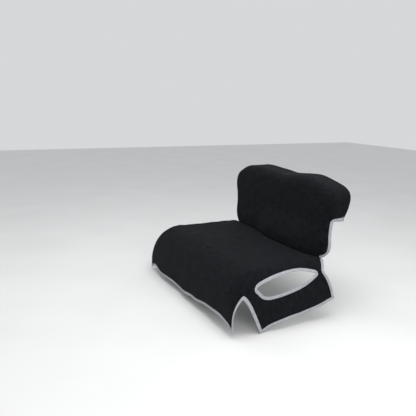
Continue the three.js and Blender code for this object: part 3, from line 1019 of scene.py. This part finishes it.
def bead():
    """The points of one stitch as (along, sideways, up), and its faces."""
    points = [(-0.5 * stitch_length, 0, 0)]
    for along, wide, bow in bead_rings:
        for k in range(bead_sides):
            turn = 2 * math.pi * k / bead_sides
            points.append((along * stitch_length, wide * thread_radius * math.cos(turn),
                           (wide * math.sin(turn) + 0.5 * bow) * thread_radius))
    points.append((0.5 * stitch_length, 0, 0))
    last = len(points) - 1
    faces = [(0, 1 + (k + 1) % bead_sides, 1 + k) for k in range(bead_sides)]
    faces += [tuple(1 + v for v in face) for face in tube_faces(len(bead_rings), bead_sides)]
    a = last - bead_sides
    faces += [(last, a + k, a + (k + 1) % bead_sides) for k in range(bead_sides)]
    return np.array(points), faces


bead_points, bead_faces = bead()


def stitch_row(line, normals):
    """(points, faces) of the stitches along a line on the cloth."""
    run = run_along(line)
    count = max(1, int(run[-1] / stitch_pitch))
    at = (np.arange(count) + 0.5) * run[-1] / count

    def pick(values, s):
        return np.stack([np.interp(s, run, values[:, k]) for k in range(3)], axis=1)

    middle, up = pick(line, at), pick(normals, at)
    along = unit(pick(line, at + stitch_length / 3) - pick(line, at - stitch_length / 3))
    sideways = unit(np.cross(up, along))
    up = np.cross(along, sideways)
    a, b, c = bead_points.T
    points = (middle[:, None] + along[:, None] * a[None, :, None]
              + sideways[:, None] * b[None, :, None] + up[:, None] * c[None, :, None])
    faces = [tuple(v + i * len(bead_points) for v in face)
             for i in range(count) for face in bead_faces]
    return points.reshape(-1, 3), faces


def joined_meshes(name, parts):
    points, faces, count = [], [], 0
    for p, f in parts:
        faces += [tuple(v + count for v in face) for face in f]
        points.append(p)
        count += len(p)
    piece = mesh_from(name, np.vstack(points), faces)
    for polygon in piece.data.polygons:
        polygon.use_smooth = True
    return piece


# %% [markdown]
# ## Where each tape begins and ends
#
# The tapes are cut where one moving part ends and the next begins, so the edge is walked round
# and parted wherever its zone changes. The exact place of a change is found by halving. A tape
# that ends at the crease or at the seam keeps its full width to the end.

# %% Walking round an edge
square_length = 0.017


def runs_of(ring, zone_of):
    """The stretches of a closed line that lie in one zone each, as (zone, points)."""
    zone = zone_of(ring)
    start = int(np.flatnonzero(zone != np.roll(zone, 1))[0])
    ring, zone = np.roll(ring, -start, axis=0), np.roll(zone, -start)
    cuts = []
    for i in range(len(ring)):
        j = (i + 1) % len(ring)
        if zone[i] != zone[j]:
            a, b = ring[i], ring[j]
            for _ in range(20):
                middle = (a + b) / 2
                a, b = (middle, b) if zone_of(middle[None])[0] == zone[i] else (a, middle)
            cuts.append((i, (a + b) / 2))
    found, before = [], cuts[-1][1]
    first = 0
    for i, place in cuts:
        found.append((int(zone[first]), np.vstack([before[None], ring[first:i + 1], place[None]])))
        first, before = i + 1, place
    return found


def inner_at(ring, inner, line):
    """The inner places of a run's points, taken from those of its closed line."""
    inners = closed(inner)
    step = np.diff(closed(ring), axis=0)
    found = []
    for p in line:
        share = np.clip(((p - ring) * step).sum(axis=1) / (step**2).sum(axis=1), 0, 1)
        near = ring + share[:, None] * step
        k = int(np.argmin(((near - p) ** 2).sum(axis=1)))
        found.append(inners[k] + share[k] * (inners[k + 1] - inners[k]))
    return np.array(found)


def squared(line, inner, at_start, at_end):
    """Keeps a tape at full width up to an end where it meets no other tape."""
    inner = inner.copy()
    run = run_along(line)
    for wanted, to_end in ((at_start, run), (at_end, run[-1] - run)):
        if wanted:
            sound = int(np.argmin(np.abs(to_end - square_length)))
            short = to_end < square_length
            inner[short] = (line + inner[sound] - line[sound])[short]
    return inner


def seat_edge_zone(flat):
    """The seat cloth's zones, with 9 for the crease."""
    return np.where(in_crease(flat), 9, zones(flat))


tapes = {}
seat_inner = inner_line(seat_edge, 1)
for zone, line in runs_of(seat_edge, seat_edge_zone):
    if zone == 9 or len(line) < 4:
        continue
    middle = line[len(line) // 2]
    side = "left" if middle[0] > 0 else "right"
    place = "notch" if middle[1] > 0 else "seat_edge"
    name = {0: f"{side}_{place}", 1: "skirt", 2: "left_flap", 3: "right_flap"}[zone]
    inner = inner_at(seat_edge, seat_inner, line)
    if "seat_edge" in name:
        inner = squared(line, inner, side == "left", side == "right")
    tapes[name] = add_tape(name, seat_sheet, line, inner)
for side, ring in slot_edges.items():
    turn = -1 if np.cross(ring[1] - ring[0], ring.mean(axis=0) - ring[0]) > 0 else 1
    slot_inner = inner_line(ring, turn)
    for zone, line in runs_of(ring, zones):
        name = f"{side}_slot_" + ("upper" if zone == 0 else "lower")
        tapes[name] = add_tape(name, seat_sheet, line, inner_at(ring, slot_inner, line))
print("tapes:", sorted(tapes))

# %% [markdown]
# The hood has tape on both margins and both side hems, and along the rear panel's hem. On its
# pattern the side hems are straight runs outwards, so they are told apart by how far out they
# lie, and they end where the seam begins.

# %% Tapes of the hood
side_hem_from, side_hem_to = 0.508, 0.5695


def hood_edge_zone(flat):
    """1 for the near margin, 2 for the near hem, 3 and 4 for the far ones, 0 elsewhere."""
    out = np.abs(flat[:, 0])
    bare = at_bottom(flat) | at_seam(flat) | (out > side_hem_to)
    hem = out > side_hem_from
    taped = np.where(flat[:, 0] > 0, np.where(hem, 2, 1), np.where(hem, 4, 3))
    return np.where(bare, 0, taped)


hood_inner = inner_line(hood_edge, 1)
hood_tape_names = {1: "left_back_edge", 2: "left_hood_side",
                   3: "right_back_edge", 4: "right_hood_side"}
for zone, line in runs_of(hood_edge, hood_edge_zone):
    if zone and len(line) > 3:
        name = hood_tape_names[zone]
        inner = squared(line, inner_at(hood_edge, hood_inner, line), zone == 4, zone == 2)
        tapes[name] = add_tape(name, hood_sheet, line, inner)
rear_inner = inner_line(rear_edge, 1)
for is_hem, line in runs_of(rear_edge, at_rear_hem):
    if is_hem:
        inner = squared(line, inner_at(rear_edge, rear_inner, line), True, True)
        tapes["hood_rear"] = add_tape("hood_rear", rear_sheet, line, inner)
print("all tapes:", len(tapes))

# %% [markdown]
# ## The hood's seam
#
# The front cloth and the rear panel are sewn edge to edge. From outside the join shows as a soft
# rolled ridge, puckered where each stitch pulls it. It is a tube along the seam whose thickness
# comes and goes with the stitches.

# %% Seam ridge
ridge_radius, pucker_pitch, ridge_sides = 0.0036, 0.0075, 10
ridge_step, ridge_forward, pucker_share = 0.0019, 0.0008, 0.14


def seam_ridge():
    """A closed tube along the seam, thinner at each stitch, and a little in front of it."""
    line = evenly(seam_line, ridge_step)
    line[:, 1] -= ridge_forward
    share, known = np.linspace(0, 1, len(line)), np.linspace(0, 1, len(seam_facing))
    normals = np.stack([np.interp(share, known, seam_facing[:, k]) for k in range(3)], axis=1)
    back = np.cross(unit(np.gradient(line, axis=0)), normals)
    run = np.arange(len(line)) * ridge_step
    radius = ridge_radius * (1 - pucker_share * np.cos(2 * math.pi * run / pucker_pitch) ** 8)
    turn = 2 * math.pi * np.arange(ridge_sides)[None, :, None] / ridge_sides
    ring = np.cos(turn) * normals[:, None] + np.sin(turn) * back[:, None]
    points = (line[:, None] + radius[:, None, None] * ring).reshape(-1, 3)
    n = ridge_sides
    faces = [(i * n + k, (i + 1) * n + k, (i + 1) * n + (k + 1) % n, i * n + (k + 1) % n)
             for i in range(len(line) - 1) for k in range(n)]
    faces += [tuple(range(n)), tuple((len(line) - 1) * n + k for k in range(n))[::-1]]
    ridge = mesh_from("hood_seam", points, faces)
    bm = bmesh.new()
    bm.from_mesh(ridge.data)
    bmesh.ops.recalc_face_normals(bm, faces=bm.faces)
    bm.to_mesh(ridge.data)
    bm.free()
    pattern = ridge.data.uv_layers.new(name="pattern")
    loops = corner_points(ridge.data)
    uv = np.stack([run[loops // n], (loops % n) * 0.0022], axis=1)
    pattern.data.foreach_set("uv", uv.astype(np.float32).ravel())
    for polygon in ridge.data.polygons:
        polygon.use_smooth = polygon.loop_total == 4
    return ridge


hood_seam = seam_ridge()
print("seam ridge:", len(hood_seam.data.polygons), "faces")

# %% [markdown]
# ## What moves with what
#
# The cover folds along four lines, and below each hinge a stretch a few centimetres long is
# worked out. A piece that hangs from a fold line has its placing baked into its points and is
# put on no body, and so are its tape and stitches. The hood's stretch is longer, because its
# cloth is full there and is only held by the crease. A piece that lies wholly above that stretch
# rides on the hood and doesn't bend, and the seat's own pieces ride on the seat.

# %% Riding and baking
fold_length, hood_bend_from, hood_bend_to = 0.045, 0.002, 0.180


def down_from(axis):
    """The direction straight down in the cloth that hangs from a fold line."""
    down = Vector((0, 0, -1))
    return (down - axis * down.dot(axis)).normalized()


def mirror(vector):
    return Vector((-vector[0], vector[1], vector[2]))


skirt_end = skirt_hinge + fold_length * down_from(skirt_axis)
left_end = flap_hinge + fold_length * down_from(flap_axis)
folds = {
    "skirt": (skirt_hinge, skirt_end),
    "left_flap": (flap_hinge, left_end),
    "right_flap": (mirror(flap_hinge), mirror(left_end)),
    "hood": (Vector((0, back_front, hood_bend_from)), Vector((0, back_front, hood_bend_to))),
}


def follow(piece, body):
    """Put a piece on the hood if it lies wholly above the hood's bend, bake the placing of one that
    hangs from a fold line, and put the rest on the seat.
    """
    if body == "hood" and min(v.co.z for v in piece.data.vertices) > hood_bend_to:
        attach(piece, "hood")
    elif body in folds:
        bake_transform(piece)
    else:
        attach(piece, "seat")


def body_of(name):
    for body in ("left_flap", "right_flap"):
        if name.startswith(body) or name == body[:-5] + "_slot_lower":
            return body
    if name.startswith("skirt"):
        return "skirt"
    return "hood" if "hood" in name or "back_edge" in name else "seat"


terry_nodes = {
    "seat_terry": ["seat_panel", "seat_front_roll", "left_seat_shoulder", "right_seat_shoulder"],
    "skirt_terry": ["front_skirt"],
    "left_flap_terry": ["left_side_flap"],
    "right_flap_terry": ["right_side_flap"],
    "hood_terry": ["back_panel"],
    "hood_rear_terry": ["hood_rear_panel"],
}
for name, (piece, _, _) in terry_pieces.items():
    follow(piece, body_of(name))
    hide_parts(*terry_nodes[name])
follow(hood_seam, "hood")
for name, (tape, thread) in tapes.items():
    for piece in (tape, thread):
        follow(piece, body_of(name))
    node = {"skirt": "front_skirt_binding"}.get(name, name + "_binding")
    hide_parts(node)
print("bodies of the tapes:", {name: body_of(name) for name in tapes})

# %% The tapes and the seam that are sewn on each cloth, gathered in a list
tapes_on = {
    "seat_terry": [n for n in tapes if body_of(n) == "seat"],
    "skirt_terry": ["skirt"],
    "left_flap_terry": ["left_flap", "left_slot_lower"],
    "right_flap_terry": ["right_flap", "right_slot_lower"],
    "hood_terry": [n for n in tapes if body_of(n) == "hood" and n != "hood_rear"],
    "hood_rear_terry": ["hood_rear"],
}
for name, (piece, cut, area) in terry_pieces.items():
    sewn_on = [part for tape in tapes_on[name] for part in tapes[tape]]
    if name == "hood_terry":
        sewn_on.append(hood_seam)

# %% [markdown]
# ## Black terry
#
# Terry is a field of small loops. Close up they make a grain of two to three millimetres, and
# from further off they lean together in patches, which is the mottling of a brushed towel. The
# gaps between the loops are painted with shade and their tops with a highlight, and stretched
# streaks are painted with light and shade, as of fine ripples in the pile. The pattern follows
# the cloth through its own UV map, which is measured in metres. A little sheen gives the pale
# bloom that loops show where the cloth turns away from the eye.

# %% A small kit for materials
def new_material(name):
    material = bpy.data.materials.new(name)
    material.use_nodes = True
    tree = material.node_tree
    return material, tree, tree.nodes["Principled BSDF"]


def plug(tree, node, inputs):
    """Links or sets some of a node's inputs, by name or by number."""
    for key, value in inputs.items():
        if isinstance(value, bpy.types.NodeSocket):
            tree.links.new(value, node.inputs[key])
        else:
            node.inputs[key].default_value = value


def add_node(tree, kind, inputs=None, **settings):
    node = tree.nodes.new(kind)
    for key, value in settings.items():
        setattr(node, key, value)
    plug(tree, node, inputs or {})
    return node


def ramp(tree, value, low, high, dark, light):
    """A value turned into a colour between two, from low to high."""
    node = add_node(tree, "ShaderNodeValToRGB", {"Fac": value})
    first, last = node.color_ramp.elements[0], node.color_ramp.elements[1]
    first.position, last.position = low, high
    first.color, last.color = (*dark, 1), (*light, 1)
    return node.outputs["Color"]


def multiplied(tree, factor, a, b):
    """Two colours multiplied, as strongly as the factor says."""
    inputs = {0: factor, 6: a, 7: b}
    node = add_node(tree, "ShaderNodeMix", inputs, data_type="RGBA", blend_type="MULTIPLY")
    return node.outputs[2]


def noise_of(tree, vector, scale, detail, **more):
    """Soft noise at a place, around a half."""
    inputs = {"Vector": vector, "Scale": scale, "Detail": detail, **more}
    return add_node(tree, "ShaderNodeTexNoise", inputs).outputs["Fac"]


def bumped(tree, height, strength, distance, over=None, **settings):
    """The surface's direction, bent by a height, on top of another bump if one is given."""
    inputs = {"Height": height, "Strength": strength, "Distance": distance}
    if over is not None:
        inputs["Normal"] = over
    return add_node(tree, "ShaderNodeBump", inputs, **settings).outputs["Normal"]


# %% Black terry
def black_terry():
    material, tree, shader = new_material("black terry")
    cloth = add_node(tree, "ShaderNodeUVMap", uv_map="pattern").outputs["UV"]
    loops = add_node(tree, "ShaderNodeTexVoronoi",
                     {"Vector": cloth, "Scale": 420.0, "Randomness": 0.9},
                     feature="SMOOTH_F1").outputs["Distance"]
    strands = noise_of(tree, cloth, 640.0, 3.0, Roughness=0.7)
    patches = noise_of(tree, cloth, 34.0, 4.0, Roughness=0.6, Distortion=0.6)
    stretched = add_node(tree, "ShaderNodeMapping", {"Vector": cloth, "Scale": (24.0, 78.0, 1.0)})
    streaks = noise_of(tree, stretched.outputs["Vector"], 1.0, 3.0, Roughness=0.55, Distortion=0.9)
    base = ramp(tree, patches, 0.30, 0.72, (0.0038, 0.0045, 0.0056), (0.0082, 0.0093, 0.0112))
    # Painted light and shade in stretched streaks, as of fine ripples in the pile.
    streak_light_and_shade = ramp(tree, streaks, 0.34, 0.70, (0.70, 0.70, 0.70), (1.34, 1.35, 1.37))
    toned = multiplied(tree, 1.0, base, streak_light_and_shade)
    # Painted shade in the gaps between the loops and a painted highlight on their tops.
    loop_shade_and_highlight = ramp(tree, loops, 0.12, 0.62, (1.60, 1.60, 1.62), (0.30, 0.30, 0.31))
    depth = add_node(tree, "ShaderNodeMath", {0: loops, 1: strands}, operation="SUBTRACT")
    grain = bumped(tree, depth.outputs["Value"], 0.9, 0.0016, invert=True)
    nap = bumped(tree, patches, 0.45, 0.004, grain)
    plug(tree, shader, {
        "Base Color": multiplied(tree, 0.75, toned, loop_shade_and_highlight),
        "Normal": bumped(tree, streaks, 0.5, 0.004, nap),
        "Roughness": 0.86,
        "Specular IOR Level": 0.06,
        "Sheen Weight": 0.03,
        "Sheen Roughness": 0.45,
        "Sheen Tint": (0.78, 0.80, 0.88, 1.0),
    })
    return material


terry_finish = black_terry()
for piece, _, _ in terry_pieces.values():
    piece.data.materials.append(terry_finish)
hood_seam.data.materials.append(terry_finish)

# %% [markdown]
# ## Pale grey binding
#
# The binding is a ribbed tape cut on the slant, so its ribs cross the edge at a slope. Its UV map
# holds the length along the tape and the distance across it, and the ribs are a wave whose
# direction is the sum of the two. Handling leaves it a little uneven.

# %% Binding and thread
rib_slant = math.radians(38)


def pale_binding():
    material, tree, shader = new_material("pale grey binding")
    weave = add_node(tree, "ShaderNodeUVMap", uv_map="weave").outputs["UV"]
    slant = add_node(tree, "ShaderNodeMapping", {"Vector": weave, "Rotation": (0, 0, rib_slant)})
    ribs = add_node(tree, "ShaderNodeTexWave",
                    {"Vector": slant.outputs["Vector"], "Scale": 55.0, "Distortion": 0.5,
                     "Detail": 1.0, "Detail Scale": 3.0},
                    wave_type="BANDS", bands_direction="X", wave_profile="SIN").outputs["Fac"]
    yarn = noise_of(tree, weave, 900.0, 2.0)
    wear = noise_of(tree, weave, 38.0, 4.0, Roughness=0.6)
    base = ramp(tree, wear, 0.32, 0.68, (0.315, 0.318, 0.345), (0.405, 0.408, 0.440))
    # Painted shade in the grooves between the ribs and a painted highlight on the ribs.
    rib_shade_and_highlight = ramp(tree, ribs, 0.10, 0.75, (0.20, 0.20, 0.21), (1.22, 1.22, 1.22))
    toned = multiplied(tree, 0.8, base, rib_shade_and_highlight)
    fuzz = ramp(tree, yarn, 0.3, 0.7, (0.86, 0.86, 0.87), (1.10, 1.10, 1.10))
    plug(tree, shader, {
        "Base Color": multiplied(tree, 0.7, toned, fuzz),
        "Normal": bumped(tree, yarn, 0.3, 0.0003, bumped(tree, ribs, 0.6, 0.0006)),
        "Roughness": 0.72,
        "Specular IOR Level": 0.30,
        "Sheen Weight": 0.12,
    })
    return material


def sewing_thread():
    material, tree, shader = new_material("grey sewing thread")
    place = add_node(tree, "ShaderNodeTexCoord").outputs["Object"]
    twist = noise_of(tree, place, 1500.0, 2.0)
    spool = noise_of(tree, place, 60.0, 2.0)
    base = ramp(tree, spool, 0.35, 0.65, (0.36, 0.36, 0.39), (0.46, 0.46, 0.49))
    ply = ramp(tree, twist, 0.35, 0.65, (0.82, 0.82, 0.83), (1.08, 1.08, 1.08))
    plug(tree, shader, {
        "Base Color": multiplied(tree, 0.8, base, ply),
        "Normal": bumped(tree, twist, 0.4, 0.0002),
        "Roughness": 0.55,
    })
    return material


binding_finish, thread_finish = pale_binding(), sewing_thread()
for tape, thread in tapes.values():
    tape.data.materials.append(binding_finish)
    thread.data.materials.append(thread_finish)
print("materials:", [m.name for m in (terry_finish, binding_finish, thread_finish)])

# %% [markdown]
# ## Floor, light and camera
#
# The cover stands as if its seat were under it, on a plain pale floor with a soft studio light:
# a bright sky, a large lamp above, and another at the near side to open the shadows.

# %% Studio
def studio_floor(height):
    corners = [(-9, -9, height), (9, -9, height), (9, 9, height), (-9, 9, height)]
    floor = mesh_from("studio_floor", corners, [(0, 1, 2, 3)])
    material, tree, shader = new_material("studio paper")
    place = add_node(tree, "ShaderNodeTexCoord").outputs["Object"]
    tooth = noise_of(tree, place, 2.5, 2.0)
    paper = ramp(tree, tooth, 0.3, 0.7, (0.70, 0.70, 0.70), (0.73, 0.73, 0.73))
    plug(tree, shader, {"Base Color": paper, "Roughness": 0.9})
    floor.data.materials.append(material)


def soft_lamp(name, place, aim, size, power):
    lamp = bpy.data.objects.new(name, bpy.data.lights.new(name, "AREA"))
    lamp.data.shape, lamp.data.size, lamp.data.energy = "DISK", size, power
    lamp.location = place
    lamp.rotation_euler = (Vector(aim) - Vector(place)).to_track_quat("-Z", "Y").to_euler()
    bpy.context.scene.collection.objects.link(lamp)


hanging_pieces = [*(row[0] for row in terry_pieces.values()), *(row[0] for row in tapes.values())]
lowest = min(v.co.z for piece in hanging_pieces for v in piece.data.vertices)
studio_floor(lowest - 0.0005)
soft_lamp("top lamp", (0.6, -0.2, 2.6), (0, 0, 0), 2.4, 56)
soft_lamp("side lamp", (3.4, -0.7, 0.9), (0, 0, 0), 2.0, 52)
world = bpy.data.worlds.new("soft sky")
world.use_nodes = True
sky = world.node_tree.nodes["Background"]
sky.inputs["Color"].default_value = (0.90, 0.91, 0.92, 1)
sky.inputs["Strength"].default_value = 0.75
bpy.context.scene.world = world
bpy.context.scene.view_settings.view_transform = "Standard"

# %% Camera
azimuth, elevation, roll = map(math.radians, (63.1, 12.2, 1.2))
camera_place = (2.4683, -1.4577, 0.8186)
to_camera = Vector((math.sin(azimuth) * math.cos(elevation),
                    -math.cos(azimuth) * math.cos(elevation),
                    math.sin(elevation)))
level = Vector((math.cos(azimuth), math.sin(azimuth), 0))
upward = to_camera.cross(level)
right_hand = level * math.cos(roll) + upward * math.sin(roll)
overhead = upward * math.cos(roll) - level * math.sin(roll)
camera = bpy.data.objects.new("camera", bpy.data.cameras.new("camera"))
camera.data.lens, camera.data.sensor_width = 42.88, 36
facing_camera = Matrix((right_hand, overhead, to_camera)).transposed().to_4x4()
camera.matrix_world = Matrix.Translation(camera_place) @ facing_camera
bpy.context.scene.collection.objects.link(camera)
bpy.context.scene.camera = camera
